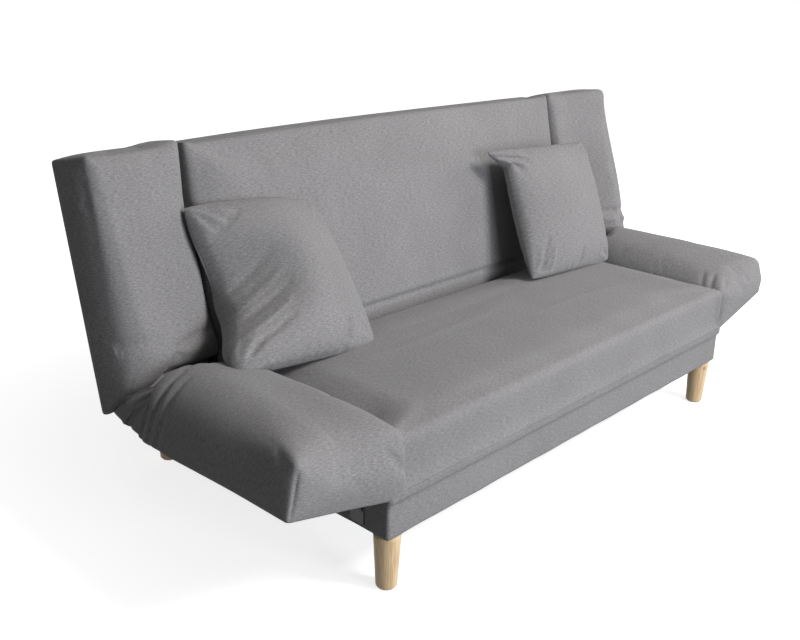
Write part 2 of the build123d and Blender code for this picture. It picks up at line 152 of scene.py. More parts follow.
def piece(name, points, faces, pattern):
    """Mesh object from points, quads and each corner's place on the cloth."""
    mesh = bpy.data.meshes.new(name)
    mesh.from_pydata(points.tolist(), [], faces.tolist())
    mesh.polygons.foreach_set("use_smooth", np.ones(len(faces), bool))
    layer = mesh.uv_layers.new(name=PATTERN)
    layer.data.foreach_set("uv", np.ascontiguousarray(pattern, np.float32).ravel())
    mesh.validate()
    thing = bpy.data.objects.new(name, mesh)
    bpy.context.scene.collection.objects.link(thing)
    return thing


def grid_piece(name, points, first, second, closed_loop=False, flip=False):
    """Piece from a grid of points, with its cloth pattern laid out along the two grid directions. A
    closed loop joins its last row to its first."""
    rows, columns = points.shape[:2]
    number = np.arange(rows * columns).reshape(rows, columns)
    u = np.broadcast_to(first[:, None], (rows, columns))
    v = np.broadcast_to(second[None, :], (rows, columns))
    flat = np.stack([u, v], -1)
    if closed_loop:
        number = np.concatenate([number, number[:1]])
        flat = np.concatenate([flat, flat[:1] + np.array((2 * u[-1, 0] - u[-2, 0], 0.0))])
    faces = np.stack([number[:-1, :-1], number[:-1, 1:], number[1:, 1:], number[1:, :-1]], -1)
    pattern = np.stack([flat[:-1, :-1], flat[:-1, 1:], flat[1:, 1:], flat[1:, :-1]], 2)
    faces, pattern = faces.reshape(-1, 4), pattern.reshape(-1, 4, 2)
    if flip:
        faces, pattern = faces[:, ::-1], pattern[:, ::-1]
    return piece(name, points.reshape(-1, 3), faces, pattern)


def read_points(thing):
    """All points of a mesh as one array."""
    found = np.empty(len(thing.data.vertices) * 3, np.float32)
    thing.data.vertices.foreach_get("co", found)
    return found.reshape(-1, 3).astype(float)


def write_points(thing, points):
    """Put an array of points back into its mesh."""
    thing.data.vertices.foreach_set("co", points.astype(np.float32).ravel())
    thing.data.update()


def read_normals(thing):
    """All point normals of a mesh as one array."""
    found = np.empty(len(thing.data.vertices) * 3, np.float32)
    thing.data.vertex_normals.foreach_get("vector", found)
    return found.reshape(-1, 3).astype(float)


def box_grid(lows, highs, step):
    """Box surface as welded squares about one step wide: points, quads that face outwards, and each
    corner's place on the cloth, laid out with the four sides folded flat round the upholstered face."""
    counts = np.maximum(np.round((highs - lows) / step), 1).astype(int)
    corners = []
    pattern = []
    for axis in range(3):
        first, second = (axis + 1) % 3, (axis + 2) % 3
        for side in (0, 1):
            i, j = np.meshgrid(np.arange(counts[first]), np.arange(counts[second]), indexing="ij")
            turn = ((0, 0), (1, 0), (1, 1), (0, 1)) if side else ((0, 0), (0, 1), (1, 1), (1, 0))
            square = np.zeros((i.size, 4, 3), int)
            square[:, :, axis] = side * counts[axis]
            square[:, :, first] = np.stack([i.ravel() + di for di, dj in turn], 1)
            square[:, :, second] = np.stack([j.ravel() + dj for di, dj in turn], 1)
            spot = lows + square / counts * (highs - lows)
            drop = highs[2] - spot[:, :, 2]
            flat = spot[:, :, :2].copy()
            if axis < 2:
                flat[:, :, axis] += drop if side else -drop
            corners.append(square.reshape(-1, 3))
            pattern.append(flat)
    places, index = np.unique(np.concatenate(corners), axis=0, return_inverse=True)
    points = lows + places / counts * (highs - lows)
    return points, index.reshape(-1, 4), np.concatenate(pattern)


def rounded(points, lows, highs, low_radii, high_radii):
    """Box with rounded edges: a point is held inside the inner box, and its step out from there is bent
    onto an ellipsoid with the radii of the sides that it lies at."""
    held = np.clip(points, lows + low_radii, highs - high_radii)
    step = points - held
    radii = np.where(step < 0, low_radii, high_radii)
    share = step / radii
    length = np.maximum(np.linalg.norm(share, axis=1, keepdims=True), 1e-9)
    reach = np.abs(share).max(axis=1, keepdims=True)
    return held + share * reach / length * radii


def placed(points, origin, first, second, third):
    """Points of a pad's own frame in the frame of the sofa."""
    return origin + points @ np.stack([first, second, third])


def in_seat(points):
    """The seat is drawn where it lies."""
    return points


def in_back(points):
    """Back pad's frame: across, up the back, out of its face, from the recline pivot."""
    return placed(points, pivot, across, up_back, out_of_back)


def in_arm(points):
    """Right arm's frame: outwards, to the rear, out of its top, from its fold line."""
    outwards = np.array((math.cos(arm_tilt), 0.0, math.sin(arm_tilt)))
    out = np.array((-math.sin(arm_tilt), 0.0, math.cos(arm_tilt)))
    origin = np.array((fold_x, 0.0, pivot[2]))
    return placed(points, origin, outwards, np.array((0.0, 1.0, 0.0)), out)


def in_wing(points):
    """Right wing's frame: outwards, up the back, out of its face, from its fold line."""
    outwards = math.cos(wing_tilt) * across + math.sin(wing_tilt) * out_of_back
    out = math.cos(wing_tilt) * out_of_back - math.sin(wing_tilt) * across
    return placed(points, pivot + fold_x * across, outwards, up_back, out)


def set_down(thing, place, side):
    """Move a finished pad from its own frame into the sofa's, mirrored if it is on the left."""
    points = place(read_points(thing))
    if side == "left":
        points[:, 0] *= -1.0
        thing.data.flip_normals()
    write_points(thing, points)


def hold(thing, fixed):
    """Mark the points that the frame under a pad holds still."""
    group = thing.vertex_groups.new(name=HELD)
    group.add(np.flatnonzero(fixed).tolist(), 1.0, "REPLACE")


def blow_up(pads):
    """Cloth with the filling's pressure inside: every pad swells for a few frames at once, no point further
    than the pad's own limit, and its new shape is kept. A pad is a thing, its stiffness and its limit."""
    scene = bpy.context.scene
    scene.frame_set(1)
    for thing, stiffness, limit in pads:
        cloth = thing.modifiers.new("Cloth", "CLOTH")
        cloth.settings.quality = 5
        cloth.settings.mass = 0.3
        cloth.settings.tension_stiffness = stiffness
        cloth.settings.compression_stiffness = stiffness
        cloth.settings.shear_stiffness = stiffness / 3
        cloth.settings.bending_stiffness = 0.4
        cloth.settings.use_pressure = True
        cloth.settings.uniform_pressure_force = SWELL_PRESSURE
        cloth.settings.effector_weights.gravity = 0.0
        cloth.collision_settings.use_collision = False
        cloth.settings.vertex_group_mass = HELD
    for number in range(1, SWELL_FRAMES + 1):
        scene.frame_set(number)
    graph = bpy.context.evaluated_depsgraph_get()
    for thing, stiffness, limit in pads:
        swollen = read_points(thing.evaluated_get(graph))
        start = read_points(thing)
        step = swollen - start
        length = np.maximum(np.linalg.norm(step, axis=1, keepdims=True), 1e-9)
        thing.modifiers.clear()
        write_points(thing, start + step * limit * np.tanh(length / limit) / length)
    scene.frame_set(1)


def refine(thing, levels):
    """Divide every square of a mesh smoothly, and keep the result as its mesh."""
    divide = thing.modifiers.new("Divide", "SUBSURF")
    divide.levels = levels
    divide.render_levels = levels
    graph = bpy.context.evaluated_depsgraph_get()
    fine = bpy.data.meshes.new_from_object(thing.evaluated_get(graph))
    thing.modifiers.clear()
    coarse = thing.data
    thing.data = fine
    fine.name = thing.name
    bpy.data.meshes.remove(coarse)


def press(thing, marks):
    """Wrinkles: each mark is a line bent through three points and laid on the cloth. A point of the
    cloth moves along its normal by the mark's height, times a bell curve of its distance to the line,
    and less towards the line's ends."""
    points = read_points(thing)
    normals = read_normals(thing)
    along = np.linspace(0.0, 1.0, MARK_SAMPLES)[:, None]
    moved = points.copy()
    for start, middle, end, width, height in marks:
        start, middle, end = (np.array(spot) for spot in (start, middle, end))
        line = (1 - along) ** 2 * start + 2 * along * (1 - along) * middle + along ** 2 * end
        near = np.all((points > line.min(0) - MARK_REACH) & (points < line.max(0) + MARK_REACH), axis=1)
        gap = np.linalg.norm(points[near][:, None] - line[None], axis=2)
        line = points[near][gap.argmin(0)]
        gap = np.linalg.norm(points[near][:, None] - line[None], axis=2)
        fade = np.sqrt(np.sin(np.pi * np.clip(along[gap.argmin(1), 0], 0.0, 1.0)))
        lift = height * fade * np.exp(-((gap.min(1) / width) ** 2))
        moved[near] += normals[near] * lift[:, None]
    write_points(thing, moved)


# Pads before they swell
def spread(points, low, high):
    """The same low and high radii for every point of a pad, to be changed where an edge is rounder."""
    return np.tile(np.array(low, float), (len(points), 1)), np.tile(np.array(high, float), (len(points), 1))


def seat_blank():
    """Seat pad: a rounded block that laps over the skirt and closes on the back's nose. Its top is crowned
    along and across, and dips beside the left arm."""
    lows = seat_low - np.array((0.002, 0.003, 0.003))
    highs = seat_high + np.array((0.002, 0.0015, 0.0))
    points, faces, pattern = box_grid(lows, highs, PAD_STEP)
    low_radii, high_radii = spread(points, (0.012, 0.012, 0.009), (0.014, 0.010, 0.024))
    shape = rounded(points, lows, highs, low_radii, high_radii)
    x, y, z = shape.T
    middle = (lows[1] + highs[1]) / 2
    crown = (1 - (x / highs[0]) ** 2) * (1 - ((y - middle) / (highs[1] - middle)) ** 2)
    dip = SEAT_DIP * smooth(-x, 0.52, 0.62) * smooth(y, -0.40, -0.28)
    shape[:, 2] += (SEAT_CROWN * crown - dip) * smooth(z, lows[2], highs[2])
    thing = piece("seat_pad", shape, faces, pattern)
    hold(thing, points[:, 2] < lows[2] + PAD_HELD)
    return thing


def back_blank():
    """Back pad: a rounded block with a round nose at the pivot, a crowned face and a top edge that is
    humped, more so to the left. Its edges are rounder at the front, so that its cover closes on the
    frame behind."""
    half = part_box("back_cover")[1][0] + 0.001
    lows = np.array((-half, -nose, pad_rear - 0.001))
    highs = np.array((half, back_length, nose))
    points, faces, pattern = box_grid(lows, highs, PAD_STEP)
    front = smooth(points[:, 2], -0.06, 0.0)
    low_radii, high_radii = spread(points, (0.002, 0.012, 0.002), (0.002, 0.004, 0.018))
    low_radii[:, 0] += front * (0.004 + 0.022 * (1 - smooth(points[:, 1], 0.38, 0.48)))
    low_radii[:, 1] += (nose - 0.013) * front
    high_radii[:, 0] += 0.008 * front
    high_radii[:, 1] += 0.006 * front
    high_radii[:, 2] += 0.011 * (1 - smooth(points[:, 1], 0.02, 0.10))
    shape = rounded(points, lows, highs, low_radii, high_radii)
    share = shape[:, 0] / half
    upper = smooth(shape[:, 1], 0.30, back_length)
    shape[:, 1] += upper * (0.008 + BACK_HUMP * (1 - share ** 2) * (1 - 0.5 * share))
    middle = back_length / 2
    crown = (1 - share ** 2) * np.clip(1 - ((shape[:, 1] - middle) / (back_length - middle)) ** 2, 0, 1)
    shape[:, 2] += BACK_CROWN * crown * smooth(shape[:, 2], pad_rear, nose)
    thing = piece("back_pad", shape, faces, pattern)
    hold(thing, points[:, 2] < lows[2] + PAD_HELD)
    return thing


def arm_dome(s, y, side, inner):
    """Rise of an arm's top: highest near its rear end, less towards both sides. The right one keeps more
    of it at its outer edge."""
    lengthways = np.clip(1 - ((y + 0.02) / 0.37) ** 2, 0, 1)
    outer = 1 - ARM_DOME_FALL[side] * smooth(s, 0.10, 0.21)
    return ARM_DOME * lengthways * outer * smooth(s, inner - 0.01, inner + 0.06)


def arm_sag(s, y):
    """Sag of an arm's lower outer edge, towards the rear."""
    return ARM_SAG * smooth(s, 0.02, 0.19) * smooth(y, -0.30, 0.05)


def arm_blank(side):
    """Arm pad: a block with a domed top, a sewn front corner, an outer edge that gets rounder to the
    rear and a rear end that runs into the gusset. The left one is pressed against the seat and bulges
    over its edge. The right one is rounder and higher at its outer edge, and reaches further in
    below."""
    inner = ARM_INNER[side]
    lows = np.array((inner, arm_front - 0.002, pad_rear - 0.002))
    highs = np.array((flap_reach + 0.003, arm_rear + 0.030, nose))
    points, faces, pattern = box_grid(lows, highs, FLAP_STEP)
    s, y, w = points.T
    rearward = smooth(y, lows[1], lows[1] + 0.20)
    upper = smooth(w, -0.05, 0.0)
    low_radii, high_radii = spread(points, (0.008, 0.006, 0.005), (0.008, 0.026, 0.018))
    low_radii[:, 0] += ARM_INNER_ROUNDING[side] * upper
    low_radii[:, 1] += 0.012 * upper
    low_radii[:, 2] += 0.012 * smooth(y, -0.06, 0.0)
    high_radii[:, 0] += 0.046 * upper * rearward
    high_radii[:, 2] += 0.030 * np.maximum(rearward, 0.6 * (1 - smooth(s, -0.03, 0.05)))
    if side == "right":
        high_radii[:, 0] += 0.026 * upper
        high_radii[:, 2] += 0.026 * smooth(s, 0.10, 0.19)
    shape = rounded(points, lows, highs, low_radii, high_radii)
    s, y, w = shape.T
    if side == "right":
        shape[:, 0] += 0.014 * smooth(s, 0.10, 0.19) * smooth(w, -0.080, -0.035)
        shape[:, 2] += 0.010 * smooth(s, 0.08, 0.19) * bell(y, -0.24, 0.12) * smooth(w, -0.03, nose)
        shape[:, 0] -= 0.013 * (1 - smooth(s, -0.04, 0.02)) * (1 - smooth(w, -0.075, -0.04))
    else:
        over_seat = (1 - smooth(s, -0.05, 0.09)) * (1 - smooth(y, -0.36, 0.0))
        shape[:, 2] += 0.027 * over_seat * smooth(w, -0.03, nose)
        inner_front = (1 - smooth(s, -0.06, 0.06)) * (1 - smooth(y, -0.40, -0.34))
        shape[:, 1] -= 0.008 * inner_front * bell(w, -0.03, 0.05)
    shape[:, 2] += arm_dome(s, y, side, inner) * smooth(w, -0.03, nose)
    shape[:, 2] -= arm_sag(s, y) * (1 - smooth(w, -0.09, 0.0))
    thing = piece(side + "_arm_pad", shape, faces, pattern)
    hold(thing, points[:, 2] < lows[2] + FLAP_HELD)
    return thing


def wing_blank(side):
    """Wing pad: a tall block, crisp at its upper outer edge and rounder below, whose inner edge swells
    over the back and whose lower end hangs as a bag at the outer rear corner. The left one rises at the
    top of its inner edge. The right one is fuller at its outer edge, most of all low down."""
    lows = np.array((-0.042, wing_start + WING_LOW[side], pad_rear - 0.003))
    highs = np.array((flap_reach + 0.002, back_length + 0.003, nose))
    points, faces, pattern = box_grid(lows, highs, FLAP_STEP)
    s, v, w = points.T
    front = smooth(w, -0.06, 0.0)
    lower = 1 - smooth(v, 0.12, 0.46)
    low_radii, high_radii = spread(points, (0.010, 0.010, 0.004), (0.006, 0.006, 0.012))
    low_radii[:, 0] += 0.006 * front
    low_radii[:, 1] += 0.006 * front
    high_radii[:, 0] += front * (0.004 + 0.034 * lower)
    high_radii[:, 1] += 0.006 * front
    if side == "right":
        high_radii[:, :2] += 0.012 * front[:, None]
    high_radii[:, 2] += 0.034 * lower * smooth(s, 0.02, 0.14)
    shape = rounded(points, lows, highs, low_radii, high_radii)
    s, v, w = shape.T
    facing = smooth(w, -0.05, nose)
    puff = np.clip(1 - ((s - 0.06) / 0.15) ** 2, 0, 1) * np.clip(1 - ((v - 0.24) / 0.30) ** 2, 0, 1)
    lift = 0.004 * puff + 0.006 * lower * smooth(s, 0.05, 0.19)
    lift += 0.012 * bell(v, 0.075, 0.05) * (1 - smooth(s, 0.12, 0.18))
    if side == "right":
        lift += (0.026 + 0.040 * lower) * smooth(s, 0.02, 0.20)
        shape[:, 0] += 0.012 * lower * smooth(s, 0.10, 0.19)
    else:
        shape[:, 0] += 0.012 * bell(v, 0.36, 0.09) * (1 - smooth(s, -0.03, 0.06)) * facing
        shape[:, 1] += 0.012 * smooth(v, 0.42, back_length) * (1 - smooth(s, -0.060, 0.050))
        shape[:, 1] -= 0.014 * smooth(s, 0.10, 0.19) * (1 - smooth(v, 0.05, 0.18))
    shape[:, 2] += facing * lift
    bag = smooth(s, 0.04, 0.196) * (1 - smooth(w, -0.09, 0.06))
    shape[:, 1] -= WING_BAG[side] * bag * (1 - smooth(v, 0.06, 0.22))
    thing = piece(side + "_wing_pad", shape, faces, pattern)
    hold(thing, points[:, 2] < lows[2] + FLAP_HELD)
    return thing


# Pillows as they lie in the photograph: side, thickness and middle in metres, turn in degrees (yaw, lean,
# roll), the power that sets how plump each is, half the seam's thickness, and the way into the corner in
# the left one's own frame
PILLOW_SIDE = {"left": 0.380, "right": 0.362}
PILLOW_THICKNESS = {"left": 0.176, "right": 0.122}
PILLOW_MIDDLE = {"left": (-0.509, 0.056, 0.510), "right": (0.467, 0.032, 0.514)}
PILLOW_TURN = {"left": (14.1, 53.3, -10.3), "right": (-1.3, 67.0, -2.7)}
PILLOW_PLUMP = {"left": 0.43, "right": 0.46}
PILLOW_SEAM = 0.0015
PILLOW_INTO_CORNER = (0.685, 0.205, -0.711)


def pillow_blank(side):
    """Scatter pillow: two panels that rise from a narrow seam. The rise is a power of the two parabolas
    across the panel, with folds that fan out from each corner and puckers along the seam. The left one
    gets flatter towards its right side."""
    half = PILLOW_SIDE[side] / 2
    highs = np.array((half, half, PILLOW_SEAM))
    points, faces, pattern = box_grid(-highs, highs, PILLOW_STEP)
    panel = np.sign(points[:, 2])
    u, v = points[:, 0] / half, points[:, 1] / half
    dome = np.clip((1 - u ** 2) * (1 - v ** 2), 0, 1)
    folds = np.zeros(len(points))
    for number, (corner_u, corner_v) in enumerate(((-1, -1), (-1, 1), (1, -1), (1, 1))):
        from_u, from_v = np.abs(u - corner_u), np.abs(v - corner_v)
        fan = np.sin(13 * np.arctan2(from_v, from_u) + 1.7 * number)
        folds += fan * bell(np.hypot(from_u, from_v), 0.26, 0.16)
    edge = np.minimum(1 - np.abs(u), 1 - np.abs(v))
    run = np.where(np.abs(u) > np.abs(v), v, u) * half
    puckers = np.sin(run / 0.0051 + 2 * np.sin(run / 0.031)) * bell(edge, 0.05, 0.07)
    rise = PILLOW_THICKNESS[side] / 2 * dome ** PILLOW_PLUMP[side]
    rise += dome ** 0.25 * (0.0050 * folds + 0.0012 * puckers)
    if side == "left":
        rise *= 1 - 0.35 * smooth(u, -0.3, 0.9)
    points[:, 2] = panel * (PILLOW_SEAM + rise)
    blunt = 1 - 0.020 * (u * v) ** 8
    points[:, 0] *= blunt
    points[:, 1] *= blunt
    return piece(side + "_pillow", points, faces, pattern)


def pillow_turn(side):
    """Turn of a pillow from lying on its back to leaning in the corner of the sofa."""
    yaw, lean, roll = (math.radians(angle) for angle in PILLOW_TURN[side])
    lying = Matrix.Rotation(roll, 3, "Z")
    return np.array(Matrix.Rotation(yaw, 3, "Z") @ Matrix.Rotation(lean, 3, "X") @ lying)


def lay_pillow(thing, side):
    """Bend the left pillow's left side back into the corner, or pull out the right one's upper left
    corner. Lean the pillow in its place, and flatten it where it rests on the seat, the arm, the back
    and the wing."""
    points = read_points(thing)
    u, v = (points[:, k] / (PILLOW_SIDE[side] / 2) for k in (0, 1))
    if side == "left":
        fall = smooth(-u, -0.3, 1.0)
        reach = fall * (0.036 + 0.088 * bell(v, 0.0, 0.60))
        points += reach[:, None] * np.array(PILLOW_INTO_CORNER)
        points[:, 0] -= fall * (0.024 + 0.045 * bell(v, -0.80, 0.30))
    else:
        points[:, 0] -= 0.066 * smooth(-u, 0.55, 1.0) * smooth(v, 0.70, 1.0)
    points = points @ pillow_turn(side).T + np.array(PILLOW_MIDDLE[side])
    outward = np.abs(points[:, 0])
    under = seat_top + 0.005 + 0.036 * smooth(outward, 0.60, 0.67)
    points[:, 2] = np.maximum(points[:, 2], under)
    behind = nose + 0.006 + 0.010 * smooth(outward, 0.62, 0.68)
    depth = (points - pivot) @ out_of_back - behind
    points -= np.minimum(depth, 0.0)[:, None] * out_of_back
    write_points(thing, points)


# Loose fabric between each arm and wing
def gusset_grid(side):
    """Sleeve that joins the arm's rear end to the wing's lower end: each point of a ring round the arm
    runs along a curve that leaves the arm to the rear and enters the wing from below. The curves under
    the sleeve are longer, so it hangs there as a bag. Gathers run round it near the arm, folds along its
    underside."""
    angle = np.linspace(0, 2 * np.pi, SLEEVE_POINTS, endpoint=False)
    power = 0.22 + 0.33 * smooth(np.sin(angle), -0.3, 0.3)
    share = np.sign(np.cos(angle)) * np.abs(np.cos(angle)) ** power
    rise = np.sign(np.sin(angle)) * np.abs(np.sin(angle)) ** power
    under = (1 - rise) / 2
    outer = (1 + share) / 2
    s = 0.072 + 0.115 * share
    leave_y = np.full_like(s, -0.002)
    top = nose - 0.016 + 0.80 * arm_dome(s, leave_y, side, -0.080)
    bottom = pad_rear - 0.003 - arm_sag(s, leave_y)
    arm_end = in_arm(np.stack([s, leave_y, top + under * (bottom - top)], 1))
    wing_v = wing_start + 0.030 - 0.090 * under * outer
    wing_top = nose + SLEEVE_WING_TOP[side]
    wing_w = wing_top + under * (pad_rear + 0.004 - wing_top)
    wing_end = in_wing(np.stack([0.074 + 0.116 * share, wing_v, wing_w], 1))
    leave = arm_end + np.stack([0 * s, 0.076 + 0.020 * under, 0.010 * under * outer - 0.020], 1)
    drop = SLEEVE_DROP[side]
    hang = drop + (0.018 - drop) * under * outer + (0.084 - drop) * under * (1 - outer)
    enter = wing_end - up_back * hang[:, None]
    t = np.linspace(0, 1, SLEEVE_ROWS)[:, None, None]
    points = (1 - t) ** 3 * arm_end + 3 * t * (1 - t) ** 2 * leave
    points += 3 * t ** 2 * (1 - t) * enter + t ** 3 * wing_end
    along = np.gradient(points, axis=0)
    around = (np.roll(points, -1, axis=1) - np.roll(points, 1, axis=1)) / 2
    normal = np.cross(along, around)
    normal /= np.linalg.norm(normal, axis=2, keepdims=True)
    t = t[:, :, 0]
    phase = SLEEVE_PHASE[side]
    bent = t + 0.05 * np.sin(angle + phase) + 0.02 * np.sin(4 * angle + phase)
    gathers = bell(bent, 0.46, 0.04) - bell(bent, 0.38, 0.03)
    corner = points - np.array((0.89, 0.205, 0.290))
    spoke = np.arctan2(corner[:, :, 2], -corner[:, :, 1])
    fan = np.sin(16 * spoke + phase) * bell(np.linalg.norm(corner, axis=2), 0.06, 0.05)
    folds = np.sin(5 * angle + 2 * t + phase) * bell(t, 0.55, 0.25)
    ends = np.sin(np.pi * t) ** 0.5
    height = ends * (0.0030 * gathers + 0.0028 * fan * outer * (1 - under) + 0.0025 * folds * under)
    points += normal * height[:, :, None]
    if side == "left":
        points[:, :, 0] *= -1
    return points


def gusset(side):
    """The sleeve in three lengths: arm to base, base to back, back to wing. Each length is a range of rows
    that laps two rows over the next; its two bodies and the line across it are listed but not used."""
    points = gusset_grid(side)
    gaps = np.linalg.norm(np.roll(points, -1, axis=1) - points, axis=2)
    around = np.cumsum(gaps, axis=1).mean(0)
    steps = np.linalg.norm(np.diff(points, axis=0), axis=2).mean(1)
    along = np.concatenate([[0], np.cumsum(steps)])
    seat_start = np.array((0.0, 0.066, 0.373))
    seat_end = seat_start + 0.030 * np.array((0.0, 0.827, 0.562))
    back_start = pivot + 0.056 * up_back
    back_end = pivot + 0.084 * up_back
    lengths = (("arm", 0, 36, side + "_arm", "base", (0, 0.035, 0), (0, 0.060, 0)),
               ("seat", 34, 58, "base", "backrest", seat_start, seat_end),
               ("back", 56, 80, "backrest", side + "_wing", back_start, back_end))
    for place, first, last, one, other, start, end in lengths:
        band = np.swapaxes(points[first:last + 1], 0, 1)
        run = along[first:last + 1]
        name = f"{side}_gusset_at_{place}"
        thing = grid_piece(name, band, around, run, closed_loop=True, flip=side == "right")
        dress(thing, "upholstery")
        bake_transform(thing)
        if place == "seat":
            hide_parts(side + "_corner_gusset")


# Wrinkles: start, middle and end of each line in its pad's frame, its width, and its height, which is
# below 0 for a groove
SEAT_MARKS = [
    *[((x - 0.05, -0.410, 0.212), (x, -0.410, 0.215), (x + 0.05, -0.410, 0.212), 0.006, -0.006)
      for x in (-0.208, -0.031, 0.147, 0.334)],
    ((-0.50, -0.10, 0.343), (-0.20, -0.13, 0.345), (0.15, -0.08, 0.345), 0.018, 0.0016),
    ((-0.40, -0.02, 0.343), (-0.05, -0.06, 0.345), (0.30, -0.01, 0.343), 0.014, -0.0014),
    ((0.02, -0.20, 0.344), (0.25, -0.17, 0.345), (0.52, -0.22, 0.343), 0.016, 0.0014),
]
BACK_MARKS = [
    ((-0.64, 0.046, 0.034), (0.0, 0.052, 0.036), (0.64, 0.046, 0.034), 0.007, -0.006),
    ((-0.64, 0.062, 0.036), (0.0, 0.068, 0.038), (0.64, 0.062, 0.036), 0.010, 0.002),
    ((-0.60, 0.47, 0.034), (-0.57, 0.40, 0.038), (-0.50, 0.36, 0.040), 0.016, 0.0018),
]
ARM_MARKS = {
    "left": [
        ((0.19, 0.042, -0.09), (0.215, 0.027, -0.01), (0.12, 0.037, 0.055), 0.006, -0.008),
        ((0.19, 0.016, -0.09), (0.215, 0.000, -0.01), (0.13, 0.010, 0.060), 0.007, -0.006),
        ((0.19, -0.014, -0.09), (0.215, -0.032, -0.01), (0.14, -0.020, 0.060), 0.008, -0.004),
        ((0.05, 0.040, 0.06), (0.09, 0.030, 0.062), (0.14, 0.016, 0.055), 0.007, -0.003),
        ((-0.075, -0.39, -0.03), (-0.055, -0.40, 0.0), (-0.02, -0.395, 0.02), 0.010, -0.004),
        ((0.192, -0.403, 0.016), (0.192, -0.403, -0.03), (0.192, -0.403, -0.080), 0.004, -0.004),
    ],
    "right": [
        ((-0.02, -0.36, 0.02), (0.0, -0.35, 0.035), (0.03, -0.345, 0.042), 0.007, -0.004),
        ((-0.02, -0.335, 0.02), (0.0, -0.32, 0.036), (0.025, -0.315, 0.045), 0.007, -0.003),
        ((-0.02, -0.39, 0.015), (0.01, -0.385, 0.03), (0.04, -0.375, 0.036), 0.007, -0.003),
    ],
}
WING_MARKS = {
    "left": [
        ((0.19, 0.11, 0.0), (0.16, 0.125, 0.035), (0.11, 0.115, 0.04), 0.015, -0.005),
        ((0.17, 0.02, -0.04), (0.15, 0.06, 0.01), (0.10, 0.09, 0.04), 0.010, 0.004),
        ((-0.03, 0.11, 0.03), (0.03, 0.10, 0.038), (0.09, 0.085, 0.03), 0.011, -0.009),
    ],
    "right": [
        ((0.10, 0.125, 0.05), (0.15, 0.112, 0.06), (0.20, 0.122, 0.055), 0.009, -0.006),
        ((0.10, 0.098, 0.05), (0.15, 0.086, 0.06), (0.20, 0.092, 0.055), 0.009, 0.005),
        ((0.11, 0.072, 0.05), (0.15, 0.064, 0.06), (0.20, 0.070, 0.055), 0.009, -0.005),
    ],
}
PILLOW_MARKS = {
    "left": [
        ((-0.175, -0.02, 0.02), (-0.13, 0.00, 0.04), (-0.07, 0.05, 0.05), 0.009, -0.005),
        ((-0.175, -0.06, 0.02), (-0.13, -0.04, 0.04), (-0.06, 0.01, 0.05), 0.008, 0.004),
        ((-0.175, -0.09, 0.02), (-0.13, -0.07, 0.04), (-0.06, -0.03, 0.05), 0.009, -0.006),
        ((-0.17, -0.12, 0.02), (-0.13, -0.10, 0.04), (-0.07, -0.06, 0.05), 0.007, 0.004),
        ((-0.16, -0.15, 0.01), (-0.12, -0.13, 0.03), (-0.07, -0.09, 0.05), 0.008, -0.005),
        ((-0.17, 0.10, 0.02), (-0.13, 0.12, 0.04), (-0.09, 0.15, 0.04), 0.009, -0.004),
        ((0.05, -0.185, 0.01), (0.07, -0.15, 0.03), (0.09, -0.13, 0.05), 0.010, -0.012),
    ],
    "right": [
        ((-0.15, -0.16, 0.01), (-0.14, -0.12, 0.03), (-0.12, -0.07, 0.05), 0.008, -0.006),
        ((-0.12, -0.17, 0.01), (-0.115, -0.13, 0.03), (-0.10, -0.10, 0.05), 0.007, 0.005),
        ((0.00, -0.175, 0.01), (0.012, -0.15, 0.03), (0.02, -0.125, 0.05), 0.006, -0.006),
        ((0.10, -0.175, 0.01), (0.105, -0.15, 0.03), (0.11, -0.13, 0.04), 0.006, -0.004),
        ((-0.20, 0.17, 0.0), (-0.16, 0.16, 0.02), (-0.12, 0.14, 0.04), 0.007, -0.006),
        ((-0.20, 0.155, 0.0), (-0.16, 0.14, 0.02), (-0.13, 0.12, 0.04), 0.007, 0.005),
    ],
}


# Materials
def linear(colour):
    """Linear RGBA of an sRGB hex colour."""
    parts = [int(colour[i:i + 2], 16) / 255 for i in (1, 3, 5)]
    return (*[c / 12.92 if c <= 0.04045 else ((c + 0.055) / 1.055) ** 2.4 for c in parts], 1.0)


def add(tree, kind, settings, inputs):
    """Add a node, set its properties, and give each input a value or another node's output."""
    made = tree.nodes.new(kind)
    for name, value in settings.items():
        setattr(made, name, value)
    for name, value in inputs.items():
        if isinstance(value, bpy.types.NodeSocket):
            tree.links.new(value, made.inputs[name])
        else:
            made.inputs[name].default_value = value
    return made


def new_material(name):
    """Empty node material and its tree."""
    material = bpy.data.materials.new(name)
    material.use_nodes = True
    tree = material.node_tree
    tree.nodes.clear()
    return material, tree


def close(tree, shader):
    """Join the finished shader to the material's output."""
    add(tree, "ShaderNodeOutputMaterial", {}, {"Surface": shader})


def ramp(tree, factor, stops):
    """Colours along a 0 to 1 factor, as (place, hex) stops."""
    made = add(tree, "ShaderNodeValToRGB", {}, {"Fac": factor})
    elements = made.color_ramp.elements
    elements[0].position = stops[0][0]
    elements[1].position = stops[-1][0]
    elements[0].color = linear(stops[0][1])
    elements[1].color = linear(stops[-1][1])
    for place, colour in stops[1:-1]:
        elements.new(place).color = linear(colour)
    return made.outputs["Color"]


def add_share(tree, value, share, base):
    """A share of one value on top of another."""
    inputs = {0: value, 1: share, 2: base}
    return add(tree, "ShaderNodeMath", {"operation": "MULTIPLY_ADD"}, inputs).outputs[0]


def grains(tree, spot, length, width):
    """Noise on the cloth's pattern whose grains are this long and wide."""
    scaled = add(tree, "ShaderNodeMapping", {}, {"Vector": spot, "Scale": (1 / length, 1 / width, 1.0)})
    inputs = {"Vector": scaled.outputs[0], "Scale": 1.0, "Detail": 2.0, "Roughness": 0.6}
    return add(tree, "ShaderNodeTexNoise", {"noise_dimensions": "2D"}, inputs).outputs["Fac"]


